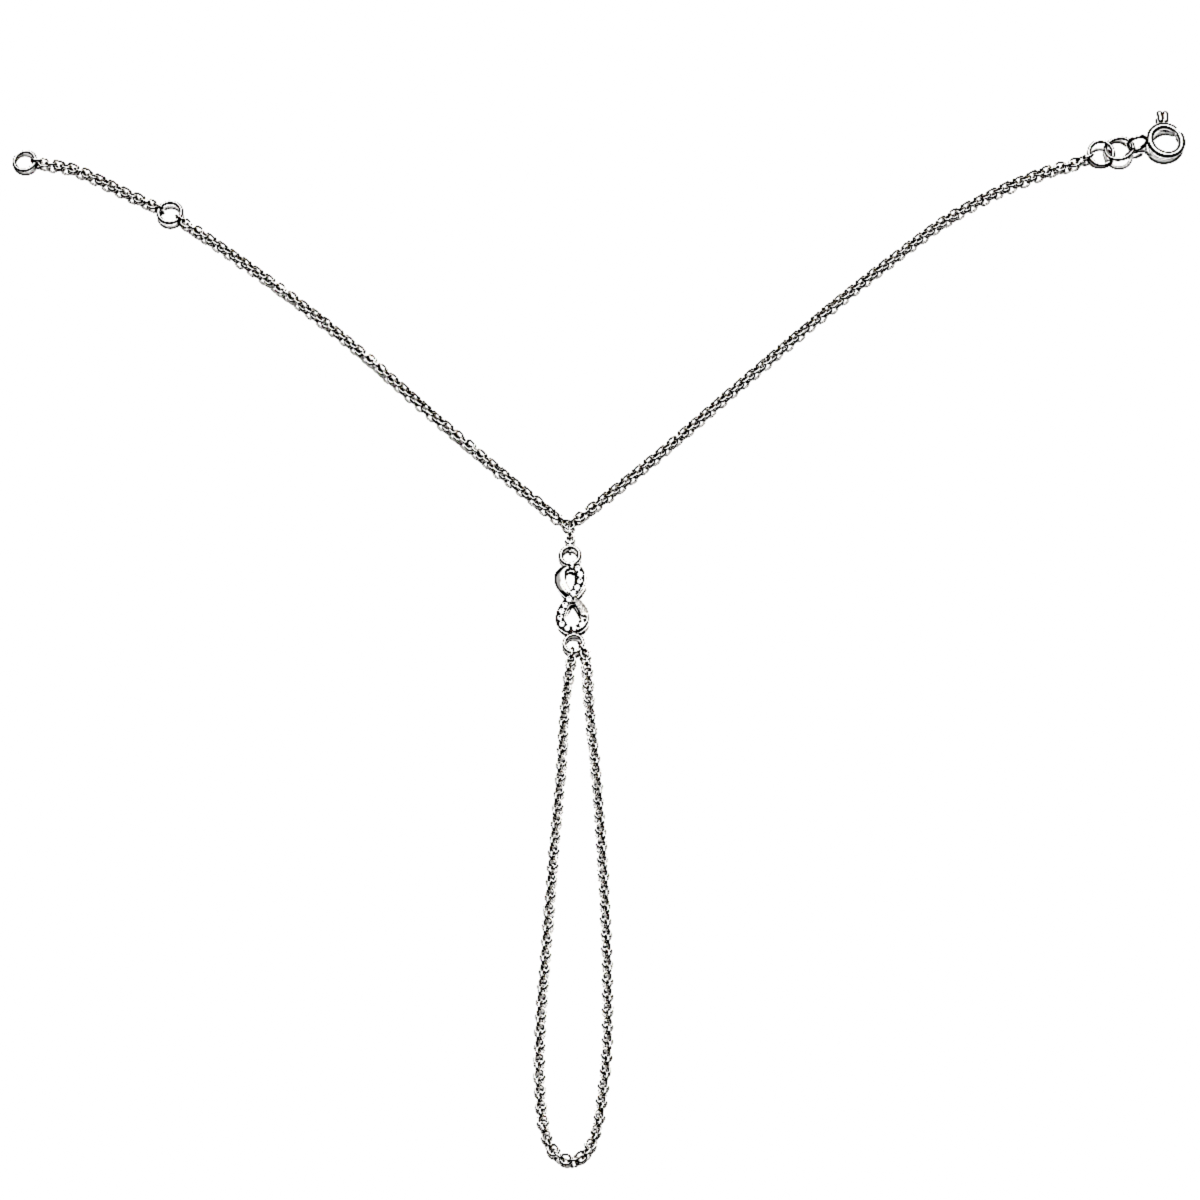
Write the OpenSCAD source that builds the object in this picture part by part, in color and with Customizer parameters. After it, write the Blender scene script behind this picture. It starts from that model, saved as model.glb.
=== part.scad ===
// Hand chain: a fine cable chain round the wrist, an infinity ornament on a
// short drop, and a chain loop for one finger. It lies flat on a table, as a Y,
// with the clasp at the right end and the two closing rings at the left end.
// Millimetres, +Z up, the table is z = 0.

/* [Chain] */
// Outside width of one chain link
link_w = 1.28; // [1.26:0.01:1.30]
// Outside length of one chain link
link_l = 1.67; // [1.66:0.01:1.69]
// Thickness of the chain wire
chain_wire = 0.34; // [0.30:0.01:0.34]

/* [Rings] */
// Thickness of the wire of all loose rings
ring_wire = 0.50; // [0.44:0.02:0.50]
// Outside diameter of the ring at the end of the extender
end_ring_d = 3.2; // [3.1:0.05:3.3]
// Outside diameter of the ring between the extender and the wrist chain
size_ring_d = 3.4; // [3.3:0.05:3.5]
// Outside diameter of the ring that holds the wrist chain
inner_ring_d = 3.6; // [3.56:0.02:3.64]
// Outside diameter of the ring that holds the clasp
outer_ring_d = 4.0; // [3.96:0.02:4.04]

/* [Clasp] */
// Outside diameter of the spring ring clasp
clasp_d = 5.04; // [4.96:0.02:5.10]
// Outside diameter of its bent tube
clasp_tube = 0.86; // [0.80:0.02:0.88]
// Inside diameter of its bent tube
clasp_bore = 0.58; // [0.54:0.02:0.60]
// Thickness of the sliding tongue in the tube
tongue_d = 0.44; // [0.36:0.02:0.46]
// How far the tongue slides back to open the clasp, in degrees
slide_deg = 36; // [30:1:38]
// Outside diameter of the eye soldered to the clasp
clasp_eye_d = 2.9; // [2.86:0.02:2.94]

/* [Infinity ornament] */
// Width of the ornament across one lobe
charm_w = 4.04; // [3.8:0.02:4.2]
// Height of the polished strand
strand_h = 1.0; // [0.8:0.05:1.2]
// How far the stone-set strand stands above the polished one
over_h = 0.16; // [0.10:0.02:0.30]
// Outside diameter of the upper eyelet
top_eye_d = 2.8; // [2.76:0.02:2.84]
// Outside diameter of the lower eyelet
low_eye_d = 2.76; // [2.72:0.02:2.80]

/* [Hidden] */
wire_fn = 64;              // roundness of wires and rings

// ---- where the pieces lie ------------------------------------------------
chain_r = link_w / 2;      // the chain's own radius and its height at rest

end_ring_at = [-72.9, 62.9, 0.45];
end_ring_tilt = -8;        // the side that the chain holds is raised
size_ring_at = [-54.2, 55.4, 0.64];
inner_ring_at = [63.71, 63.93, 0.64];
inner_ring_lean = 14.3;    // leans back, its upper edge raised
inner_ring_spin = 18;      // square to the chain that it holds
outer_ring_at = [66.01, 64.49, 0.8];
outer_ring_lean = -11.8;   // leans forward, over the inner ring's near edge
outer_ring_tilt = -10.9;   // its right edge is raised, through the clasp's eye
clasp_at = [72.0, 65.64, 0.79];
clasp_tip = 9.8;           // the eye holds up the clasp's left side
eye_turn = 190.8;          // where the eye stands on the clasp's rim
eye_lean = -76;            // nearly square to the clasp
trigger_turn = 94;         // where the trigger stands at rest
gap_from = 31;             // the clasp's opening, in degrees round its rim
gap_to = 52;
charm_at = [-3.3, 2.1, 0.2225];
charm_roll = -6;           // its right edge is raised
charm_turn = 2.2;
junction_at = [-3.8, 11.98, 0.64];
junction_turn = -36;

// Routes of the chains' middle lines on the table. Columns: x, y, and how far
// the chain is lifted there.
RX = 0; RY = 1; RUP = 2;
extender_route = [
    [-70.5, 62.6, 0], [-67.2, 62.0, 0], [-63.2, 60.2, 0], [-59.4, 58.1, 0],
    [-56.8, 56.8, 0]];
left_route = [
    [-51.0, 53.1, 0], [-48.9, 51.6, 0], [-41.0, 45.5, 0], [-33.2, 39.0, 0],
    [-25.9, 32.2, 0], [-18.7, 25.3, 0], [-11.4, 18.6, 0], [-6.2, 14.0, 0]];
right_route = [
    [-2.0, 13.4, 0], [0.5, 15.6, 0], [7.8, 22.1, 0], [14.9, 28.9, 0],
    [22.0, 35.6, 0], [29.3, 42.4, 0], [36.7, 48.8, 0], [44.3, 54.9, 0],
    [52.8, 59.8, 0], [57.0, 61.6, 0], [60.5, 62.7, 0]];
finger_route = [
    [-3.5, -6.5, 0], [-4.0, -10.5, 0], [-4.6, -20.5, 0], [-5.4, -30.5, 0],
    [-6.1, -40.5, 0], [-6.8, -50.5, 0], [-7.0, -56.0, 0], [-6.9, -61.0, 0],
    [-6.5, -64.8, 0], [-5.8, -67.2, 0], [-4.7, -68.7, 0], [-3.3, -69.3, 0],
    [-1.9, -68.7, 0], [-0.8, -66.9, 0], [-0.1, -64.4, 0], [0.4, -61.0, 0],
    [0.9, -56.0, 0], [1.0, -50.5, 0], [0.8, -40.5, 0], [0.3, -30.5, 0],
    [-0.4, -20.5, 0.005], [-1.3, -10.5, 0.02], [-1.5, -6.5, 0.06], [-1.6, -5.3, 0.1]];

// The ornament's two strands from top to bottom, through the crossing.
// Columns: x and y of the middle line as shares of the half width and the
// half height, and half the strand's width.
set_strand = [
    [-0.06, 0.92, 0.34], [0.39, 0.86, 0.50], [0.59, 0.69, 0.76],
    [0.59, 0.47, 0.76], [0.37, 0.23, 0.66], [0.00, 0.00, 0.56],
    [-0.40, -0.25, 0.60], [-0.67, -0.50, 0.64], [-0.70, -0.74, 0.60],
    [-0.44, -0.92, 0.48], [0.06, -0.99, 0.38]];
plain_strand = [
    [0.06, 0.92, 0.34], [-0.40, 0.86, 0.46], [-0.63, 0.69, 0.68],
    [-0.61, 0.47, 0.70], [-0.38, 0.23, 0.60], [0.00, 0.00, 0.48],
    [0.42, -0.25, 0.54], [0.68, -0.50, 0.60], [0.71, -0.74, 0.56],
    [0.44, -0.92, 0.46], [-0.06, -0.99, 0.38]];
charm_hh = 4.42;           // half height of the ornament

// ---- sizes that follow ---------------------------------------------------
clasp_r = (clasp_d - clasp_tube) / 2;
hook_in = ring_wire / 2 + chain_wire + 0.04 - 0.3625; // ring to link joint
end_wire = link_l - chain_wire;   // between the wires at a link's two ends
top_eye_r = (top_eye_d - ring_wire) / 2;
low_eye_r = (low_eye_d - ring_wire) / 2;
top_eye_y = 5.70;
low_eye_y = -6.05;
eye_z = 0.42;

function unit(v) = v / norm(v);
function turn(a) = [cos(a), sin(a), 0];
function on_table(p) = [p[RX], p[RY], chain_r + p[RUP]];
// A point of the ornament at its eyelets' height, rolled, turned and placed.
function on_charm(x, y) = let(
    u = x * cos(charm_roll) + eye_z * sin(charm_roll),
    h = eye_z * cos(charm_roll) - x * sin(charm_roll))
    charm_at + [u * cos(charm_turn) - y * sin(charm_turn),
        u * sin(charm_turn) + y * cos(charm_turn), h];

// Where a chain's last joint lies inside a ring of middle radius r.
function hook(at, r, toward) = at + (r - hook_in) * unit(toward - at);

// A smooth curve through points P, n steps a span.
function span_dir(P, i) = let(d = P[i + 1] - P[i]) d / norm(d);
function way(P, i) = i == 0 ? span_dir(P, 0)
    : i == len(P) - 1 ? span_dir(P, i - 1)
    : let(a = norm(P[i] - P[i - 1]), b = norm(P[i + 1] - P[i]))
      (span_dir(P, i - 1) * b + span_dir(P, i) * a) / (a + b);
function bend(p, q, u, v, t) = let(d = norm(q - p))
    (2 * t * t * t - 3 * t * t + 1) * p + (t * t * t - 2 * t * t + t) * d * u
    + (3 * t * t - 2 * t * t * t) * q + (t * t * t - t * t) * d * v;
function curve(P, n) = [for (i = [0 : len(P) - 2], j = [0 : n - 1])
    bend(P[i], P[i + 1], way(P, i), way(P, i + 1), j / n), P[len(P) - 1]];

// Running length along points Q, and the point at length s.
function lengths(Q) = [for (i = 0, s = 0; i < len(Q);
    i = i + 1, s = s + (i < len(Q) ? norm(Q[i] - Q[i - 1]) : 0)) s];
function seek(L, s, lo, hi) = hi - lo <= 1 ? lo
    : let(m = floor((lo + hi) / 2)) L[m] <= s ? seek(L, s, m, hi) : seek(L, s, lo, m);
function point_at(Q, L, s) = let(i = seek(L, s, 0, len(L) - 1),
    t = (s - L[i]) / (L[i + 1] - L[i])) Q[i] + t * (Q[i + 1] - Q[i]);

// Whole routes, from the joint inside one ring to the joint inside the next.
low_eye = on_charm(0, low_eye_y);
top_eye = on_charm(0, top_eye_y);
extender_way = let(P = [for (p = extender_route) on_table(p)],
    a = [end_ring_at[0], end_ring_at[1], chain_r],
    b = [size_ring_at[0], size_ring_at[1], chain_r])
    concat([hook(a, (end_ring_d - ring_wire) / 2 * cos(end_ring_tilt), P[0])], P,
        [hook(b, (size_ring_d - ring_wire) / 2, P[len(P) - 1])]);
left_way = let(P = [for (p = left_route) on_table(p)],
    a = [size_ring_at[0], size_ring_at[1], chain_r])
    concat([hook(a, (size_ring_d - ring_wire) / 2, P[0])], P,
        [junction_at - 0.535 * turn(junction_turn)]);
right_way = let(P = [for (p = right_route) on_table(p)])
    concat([junction_at + [0.22, 0.22, 0]], P, [inner_ring_at
        - ((inner_ring_d - ring_wire) / 2 - hook_in) * turn(inner_ring_spin)]);
finger_way = let(P = [for (p = finger_route) on_table(p)],
    c = (low_eye_r - hook_in - 0.035) * turn(-25))
    concat([hook(low_eye, low_eye_r, P[0])], P,
        [on_charm(c[0], low_eye_y + c[1]) + [0, 0, 0.03]]);

// ---- shapes used more than once -------------------------------------------
module round_wire_ring(od, wire) {
    rotate_extrude($fn = wire_fn) translate([(od - wire) / 2, 0]) circle(d = wire, $fn = wire_fn);
}

// One oval link of round wire, long side along X, lying flat.
module link(l, w, d) {
    r = (w - d) / 2;
    h = (l - w) / 2;
    for (s = [0, 180]) rotate([0, 0, s]) translate([h, 0, 0])
        rotate_extrude(angle = 180, start = -90, $fn = wire_fn)
            translate([r, 0]) circle(d = d, $fn = wire_fn);
    for (s = [-1, 1]) translate([-h, s * r, 0]) rotate([0, 90, 0])
        cylinder(d = d, h = 2 * h, $fn = wire_fn);
}

// A link between two joints, rolled about its long axis.
module link_between(p, q, roll) {
    d = q - p;
    translate((p + q) / 2)
        rotate([roll, -atan2(d[2], norm([d[0], d[1]])), atan2(d[1], d[0])])
            link(link_l, link_w, chain_wire);
}

// Fine chain as one tube along its route, at the chain's own width.
module chain_tube(Q, stations) {
    L = lengths(Q);
    sides = 8;
    r = chain_r / cos(180 / sides);
    rings = [for (s = stations) let(
        c = point_at(Q, L, s),
        t = unit(point_at(Q, L, s + 0.2) - point_at(Q, L, s - 0.2)),
        n = unit([-t[1], t[0], 0]), b = cross(t, n))
        [for (k = [0 : sides - 1]) let(a = (k + 0.5) * 360 / sides)
            c + r * cos(a) * n + r * sin(a) * b]];
    m = len(rings);
    polyhedron(points = [for (g = rings) each g], faces = concat(
        [[for (k = [0 : sides - 1]) k]],
        [for (i = [0 : m - 2], k = [0 : sides - 1]) let(e = (k + 1) % sides)
            [i * sides + k, (i + 1) * sides + k, (i + 1) * sides + e, i * sides + e]],
        [[for (k = [sides - 1 : -1 : 0]) (m - 1) * sides + k]]));
}

// A run of chain: a true link at each end and the tube between them.
module chain_run(P, pitch_near, first_roll, last_roll, spans) {
    Q = curve(P, 8);
    L = lengths(Q);
    total = L[len(L) - 1];
    count = round(total / pitch_near);
    pitch = total / count;
    free = pitch + (link_l - pitch) / 2 + 0.05;
    link_between(Q[0], point_at(Q, L, pitch), first_roll);
    link_between(point_at(Q, L, total - pitch), Q[len(Q) - 1], last_roll);
    // Columns of spans: share of the run where it ends, and its tube rings.
    stations = [for (i = [0 : len(spans) - 1])
        let(a = i == 0 ? 0 : spans[i - 1][0], b = spans[i][0], n = spans[i][1])
        for (j = [0 : n - 1]) free + (total - 2 * free) * (a + (b - a) * j / n)];
    chain_tube(Q, concat(stations, [total - free]));
}

// A bent stretch of tube round the clasp's middle.
module bent_tube(d, from, to) {
    rotate_extrude(angle = to - from, start = from, $fn = 2 * wire_fn)
        translate([clasp_r, 0]) circle(d = d, $fn = wire_fn);
}

// Outline of one strand of the ornament.
function strand_curve(T) = curve([for (p = T)
    [p[0] * charm_w / 2, p[1] * charm_hh, p[2]]], 4);
module strand(T, inset) {
    C = strand_curve(T);
    m = len(C);
    side = [for (i = [0 : m - 1]) let(
        d = C[min(i + 1, m - 1)] - C[max(i - 1, 0)], n = unit([-d[1], d[0]]))
        [[C[i][0], C[i][1]], n * (C[i][2] - inset)]];
    polygon(concat([for (p = side) p[0] + p[1]],
        [for (i = [m - 1 : -1 : 0]) side[i][0] - side[i][1]]));
}

// ---- the pieces ------------------------------------------------------------
module end_ring() {
    color("silver") translate(end_ring_at) rotate([0, end_ring_tilt, -5])
        round_wire_ring(end_ring_d, ring_wire);
}

module extender_chain() {
    color("gainsboro") chain_run(extender_way, 0.955, 90, 90, [[1, 4]]);
}

module size_ring() {
    color("silver") translate(size_ring_at) round_wire_ring(size_ring_d, ring_wire);
}

module wrist_chain_left() {
    color("gainsboro") {
        chain_run(left_way, 0.955, 90, 90, [[1, 16]]);
        // the flat link that the drop and the right chain hang from
        translate(junction_at) rotate([0, 0, junction_turn])
            link(link_l + 0.11, link_w + 0.06, chain_wire);
    }
}

module wrist_chain_right() {
    color("gainsboro") chain_run(right_way, 0.9625, 90, 105, [[1, 20]]);
}

module joining_ring_inner() {
    color("silver") translate(inner_ring_at) rotate([inner_ring_lean, 0, inner_ring_spin])
        round_wire_ring(inner_ring_d, ring_wire);
}

module joining_ring_outer() {
    color("silver") translate(outer_ring_at) rotate([outer_ring_lean, outer_ring_tilt, 0])
        round_wire_ring(outer_ring_d, ring_wire);
}

module clasp_case() {
    color("silver") translate(clasp_at) rotate([0, clasp_tip, 0]) difference() {
        union() {
            bent_tube(clasp_tube, gap_to, gap_from + 360);
            rotate([0, 0, eye_turn])
                translate([(clasp_d + clasp_eye_d) / 2 - 0.12, 0, 0])
                rotate([eye_lean, 0, 0]) round_wire_ring(clasp_eye_d, ring_wire - 0.02);
        }
        // the seat that the tongue enters, and the channel that it slides in
        bent_tube(clasp_bore, 10, gap_from + 1);
        bent_tube(clasp_bore, gap_to - 1, trigger_turn + slide_deg + 30);
        // the slot that the trigger moves along
        rotate_extrude(angle = slide_deg + 12, start = trigger_turn - 6, $fn = 2 * wire_fn)
            translate([clasp_r, -0.18]) square([clasp_tube, 0.36]);
    }
}

module clasp_slider() {
    color("lightgray") translate(clasp_at) rotate([0, clasp_tip, 0]) {
        bent_tube(tongue_d, gap_from - 7, trigger_turn + 10);
        rotate([0, 0, trigger_turn]) {
            translate([clasp_r, -0.15, -0.13]) cube([0.75, 0.3, 0.26]);
            for (s = [-0.34, 0.34]) translate([2.72, s, 0]) {
                rotate([0, 90, 0]) cylinder(r = 0.38, h = 1.18, $fn = wire_fn);
                translate([1.18, 0, 0]) sphere(r = 0.38, $fn = wire_fn);
            }
        }
    }
}

module drop_chain() {
    a = junction_at + [0.17, -0.26, 0];
    b = top_eye + [0, top_eye_r - ring_wire / 2 - chain_wire / 2 - 0.03, 0];
    d = unit(b - a);
    gap = (3 * end_wire - norm(b - a)) / 2;
    color("gainsboro") for (i = [0 : 2])
        let(c = a + (end_wire / 2 + i * (end_wire - gap)) * d)
        translate(c) rotate([i == 1 ? 0 : 90, 0, atan2(d[1], d[0])])
            link(link_l, link_w, chain_wire);
}

module infinity_charm() {
    color("whitesmoke") translate(charm_at) rotate([0, charm_roll, charm_turn]) {
        linear_extrude(strand_h + over_h - 0.18) strand(set_strand, 0);
        linear_extrude(strand_h + over_h) strand(set_strand, 0.12);
        linear_extrude(strand_h - 0.18) strand(plain_strand, 0);
        linear_extrude(strand_h) strand(plain_strand, 0.12);
        translate([0, top_eye_y, eye_z]) round_wire_ring(top_eye_d, ring_wire);
        translate([0, low_eye_y, eye_z]) round_wire_ring(low_eye_d, ring_wire);
    }
}

module finger_chain() {
    color("gainsboro") chain_run(finger_way, 0.94, 90, 90,
        [[0.42, 11], [0.565, 15], [1, 11]]);
}

end_ring();
extender_chain();
size_ring();
wrist_chain_left();
wrist_chain_right();
joining_ring_inner();
joining_ring_outer();
clasp_case();
clasp_slider();
drop_chain();
infinity_charm();
finger_chain();
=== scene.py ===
import bpy
import math
import numpy as np
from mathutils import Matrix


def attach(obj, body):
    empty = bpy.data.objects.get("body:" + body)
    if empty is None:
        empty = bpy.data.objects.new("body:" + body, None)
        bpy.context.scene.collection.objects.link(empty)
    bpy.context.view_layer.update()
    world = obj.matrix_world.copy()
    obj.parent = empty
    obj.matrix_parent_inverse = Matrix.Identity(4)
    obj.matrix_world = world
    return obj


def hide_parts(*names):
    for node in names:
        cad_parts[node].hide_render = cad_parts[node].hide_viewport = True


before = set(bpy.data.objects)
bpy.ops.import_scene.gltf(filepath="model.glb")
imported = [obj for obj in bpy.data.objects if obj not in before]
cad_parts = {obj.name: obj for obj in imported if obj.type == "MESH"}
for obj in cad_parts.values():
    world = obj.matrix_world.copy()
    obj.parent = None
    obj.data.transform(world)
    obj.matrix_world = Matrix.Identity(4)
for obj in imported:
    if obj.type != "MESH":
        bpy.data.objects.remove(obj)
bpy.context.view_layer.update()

MM = 0.001
CHAIN_BODY = "hand_chain"
TONGUE_BODY = "clasp_tongue"

# ---------------------------------------------------------------------------
# sizes and places in millimetres, the same as in the construction
# ---------------------------------------------------------------------------
LINK_W, LINK_L, WIRE = 1.28, 1.67, 0.34
RUN_W, LOOP_W = 1.42, 1.54  # along a run the links are rounder, and lie on their corners
CHAIN_R = LINK_W / 2
RING_WIRE = 0.50


def V(*a):
    return np.array(a, float)


def unit(v):
    return v / np.linalg.norm(v)


def turn(deg):
    a = math.radians(deg)
    return V(math.cos(a), math.sin(a), 0)


def rot(x, y, z):
    """Rotation about X, then Y, then Z, in degrees."""
    x, y, z = (math.radians(k) for k in (x, y, z))
    rx = np.array([[1, 0, 0], [0, math.cos(x), -math.sin(x)], [0, math.sin(x), math.cos(x)]])
    ry = np.array([[math.cos(y), 0, math.sin(y)], [0, 1, 0], [-math.sin(y), 0, math.cos(y)]])
    rz = np.array([[math.cos(z), -math.sin(z), 0], [math.sin(z), math.cos(z), 0], [0, 0, 1]])
    return rz @ ry @ rx


END_RING = dict(at=V(-72.9, 62.9, 0.45), d=3.2, R=rot(0, -8, -5), tilt=-8)
SIZE_RING = dict(at=V(-54.2, 55.4, 0.64), d=3.4, R=rot(0, 0, 0))
INNER_RING = dict(at=V(63.71, 63.93, 0.64), d=3.6, R=rot(14.3, 0, 18), spin=18)
OUTER_RING = dict(at=V(66.01, 64.49, 0.8), d=4.0, R=rot(-11.8, -10.9, 0))
CLASP_AT, CLASP_R = V(72.0, 65.64, 0.79), rot(0, 9.8, 0)
CLASP_D, CLASP_TUBE, CLASP_BORE, TONGUE_D = 5.04, 0.86, 0.58, 0.44
CLASP_MID = (CLASP_D - CLASP_TUBE) / 2
EYE_D, EYE_TURN, EYE_LEAN = 2.9, 190.8, -76
TRIGGER_TURN, GAP_FROM, GAP_TO, SLIDE = 94, 31, 52, 36
CHARM_AT, CHARM_R = V(-3.3, 2.1, 0.2225), rot(0, -6, 2.2)
CHARM_HW, CHARM_HH = 2.02, 4.42
TOP_EYE_D, LOW_EYE_D, TOP_EYE_Y, LOW_EYE_Y, EYE_Z = 2.8, 2.76, 5.70, -6.05, 0.42
JUNCTION_AT, JUNCTION_TURN = V(-3.8, 11.98, 0.64), -36
HOOK_IN = RING_WIRE / 2 + WIRE + 0.04 - 0.3625

EXTENDER = [[-70.5, 62.6, 0], [-67.2, 62.0, 0], [-63.2, 60.2, 0], [-59.4, 58.1, 0], [-56.8, 56.8, 0]]
LEFT = [[-51.0, 53.1, 0], [-48.9, 51.6, 0], [-41.0, 45.5, 0], [-33.2, 39.0, 0],
        [-25.9, 32.2, 0], [-18.7, 25.3, 0], [-11.4, 18.6, 0], [-6.2, 14.0, 0]]
RIGHT = [[-2.0, 13.4, 0], [0.5, 15.6, 0], [7.8, 22.1, 0], [14.9, 28.9, 0], [22.0, 35.6, 0],
         [29.3, 42.4, 0], [36.7, 48.8, 0], [44.3, 54.9, 0], [52.8, 59.8, 0],
         [57.0, 61.6, 0], [60.5, 62.7, 0]]
FINGER = [[-3.5, -6.5, 0], [-4.0, -10.5, 0], [-4.6, -20.5, 0], [-5.4, -30.5, 0], [-6.1, -40.5, 0],
          [-6.8, -50.5, 0], [-7.0, -56.0, 0], [-6.9, -61.0, 0], [-6.5, -64.8, 0], [-5.8, -67.2, 0],
          [-4.7, -68.7, 0], [-3.3, -69.3, 0], [-1.9, -68.7, 0], [-0.8, -66.9, 0], [-0.1, -64.4, 0],
          [0.4, -61.0, 0], [0.9, -56.0, 0], [1.0, -50.5, 0], [0.8, -40.5, 0], [0.3, -30.5, 0],
          [-0.4, -20.5, 0.005], [-1.3, -10.5, 0.02], [-1.5, -6.5, 0.06], [-1.6, -5.3, 0.1]]

# the ornament's strands: x and y as shares of its half width and half height, half the strand's width
SET_STRAND = [[-0.06, 0.92, 0.34], [0.39, 0.86, 0.50], [0.59, 0.69, 0.76], [0.59, 0.47, 0.76],
              [0.37, 0.23, 0.66], [0.00, 0.00, 0.56], [-0.40, -0.25, 0.60], [-0.67, -0.50, 0.64],
              [-0.70, -0.74, 0.60], [-0.44, -0.92, 0.48], [0.06, -0.99, 0.40], [0.38, -0.94, 0.40]]
PLAIN_STRAND = [[0.06, 0.92, 0.34], [-0.40, 0.86, 0.46], [-0.63, 0.69, 0.68], [-0.61, 0.47, 0.70],
                [-0.38, 0.23, 0.60], [0.00, 0.00, 0.48], [0.42, -0.25, 0.54], [0.68, -0.50, 0.60],
                [0.71, -0.74, 0.56], [0.44, -0.92, 0.46], [-0.06, -0.99, 0.38]]


# ---------------------------------------------------------------------------
# curves
# ---------------------------------------------------------------------------
def curve(points, n=8):
    P = [np.asarray(p, float) for p in points]
    m = len(P)

    def chord(i):
        return unit(P[i + 1] - P[i])

    def way(i):
        if i == 0:
            return chord(0)
        if i == m - 1:
            return chord(m - 2)
        a, b = np.linalg.norm(P[i] - P[i - 1]), np.linalg.norm(P[i + 1] - P[i])
        return (chord(i - 1) * b + chord(i) * a) / (a + b)

    out = []
    for i in range(m - 1):
        p, q, u, v = P[i], P[i + 1], way(i), way(i + 1)
        d = np.linalg.norm(q - p)
        for j in range(n):
            t = j / n
            out.append((2 * t**3 - 3 * t * t + 1) * p + (t**3 - 2 * t * t + t) * d * u
                       + (3 * t * t - 2 * t**3) * q + (t**3 - t * t) * d * v)
    out.append(P[-1])
    return np.array(out)


def lengths(Q):
    return np.concatenate([[0], np.cumsum(np.linalg.norm(np.diff(Q, axis=0), axis=1))])


def point_at(Q, L, s):
    return np.array([np.interp(s, L, Q[:, k]) for k in range(Q.shape[1])])


def on_table(p):
    return V(p[0], p[1], CHAIN_R + p[2])


def hook(at, r, toward):
    return at + (r - HOOK_IN) * unit(toward - at)


def on_charm(x, y, z=EYE_Z):
    return CHARM_AT + CHARM_R @ V(x, y, z)


def routes():
    low = on_charm(0, LOW_EYE_Y)
    low_r = (LOW_EYE_D - RING_WIRE) / 2
    end_at = V(END_RING["at"][0], END_RING["at"][1], CHAIN_R)
    size_at = V(SIZE_RING["at"][0], SIZE_RING["at"][1], CHAIN_R)
    end_r = (END_RING["d"] - RING_WIRE) / 2 * math.cos(math.radians(END_RING["tilt"]))
    size_r = (SIZE_RING["d"] - RING_WIRE) / 2
    inner_r = (INNER_RING["d"] - RING_WIRE) / 2
    E, Lf, Rt, F = ([on_table(p) for p in r] for r in (EXTENDER, LEFT, RIGHT, FINGER))
    c = (low_r - HOOK_IN - 0.035) * turn(-25)
    return {
        "extender": [hook(end_at, end_r, E[0])] + E + [hook(size_at, size_r, E[-1])],
        "left": [hook(size_at, size_r, Lf[0])] + Lf + [JUNCTION_AT - 0.535 * turn(JUNCTION_TURN)],
        "right": [JUNCTION_AT + V(0.22, 0.22, 0)] + Rt
        + [INNER_RING["at"] - (inner_r - HOOK_IN) * turn(INNER_RING["spin"])],
        "finger": [hook(low, low_r, F[0])] + F + [on_charm(c[0], LOW_EYE_Y + c[1]) + V(0, 0, 0.03)],
    }


# ---------------------------------------------------------------------------
# mesh building
# ---------------------------------------------------------------------------
class Mesh:
    """Collects points and faces, in millimetres."""

    def __init__(self):
        self.v, self.f, self.m, self.n = [], [], [], 0

    def add(self, verts, faces, mat=0):
        verts = np.asarray(verts, float)
        self.v.append(verts)
        self.f.extend([[i + self.n for i in f] for f in faces])
        self.m.extend([mat] * len(faces))
        self.n += len(verts)

    def grid(self, rows, closed_u=False, closed_v=True, mat=0, flip=False):
        """rows: list of rings of points. closed_v joins each ring's ends, closed_u joins the last ring to the first."""
        a, b = len(rows), len(rows[0])
        faces = []
        for i in range(a if closed_u else a - 1):
            for j in range(b if closed_v else b - 1):
                p, q = (i + 1) % a, (j + 1) % b
                f = [i * b + j, p * b + j, p * b + q, i * b + q]
                faces.append(f[::-1] if flip else f)
        self.add(np.vstack(rows), faces, mat)

    def fan(self, ring, centre, mat=0, flip=False):
        b = len(ring)
        faces = [[j, (j + 1) % b, b] for j in range(b)]
        self.add(np.vstack([ring, [centre]]), [f[::-1] for f in faces] if flip else faces, mat)


def make_object(name, mesh, mats, body, smooth=True, angle=None, weld=True):
    me = bpy.data.meshes.new(name)
    me.from_pydata((np.vstack(mesh.v) * MM).tolist(), [], mesh.f)
    me.update()
    me.polygons.foreach_set("material_index", np.array(mesh.m, np.int32))
    o = bpy.data.objects.new(name, me)
    bpy.context.scene.collection.objects.link(o)
    for m in mats:
        me.materials.append(m)
    import bmesh
    bm = bmesh.new()
    bm.from_mesh(me)
    if weld:
        bmesh.ops.remove_doubles(bm, verts=bm.verts, dist=2e-7)
    bmesh.ops.recalc_face_normals(bm, faces=bm.faces)
    bm.to_mesh(me)
    bm.free()
    me.polygons.foreach_set("use_smooth", np.full(len(me.polygons), smooth))
    if angle is not None:
        me.set_sharp_from_angle(angle=math.radians(angle))
    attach(o, body)
    return o


def circle(c, n, b, r, k, start=0.0):
    a = start + np.arange(k) * 2 * math.pi / k
    return c + r * (np.cos(a)[:, None] * n + np.sin(a)[:, None] * b)


def bump_profile(t, at, width):
    """A soft bump in t, at the place at, for closed t in 0..1."""
    d = np.abs((t - at + 0.5) % 1.0 - 0.5)
    return np.exp(-((d / width) ** 2))


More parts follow.
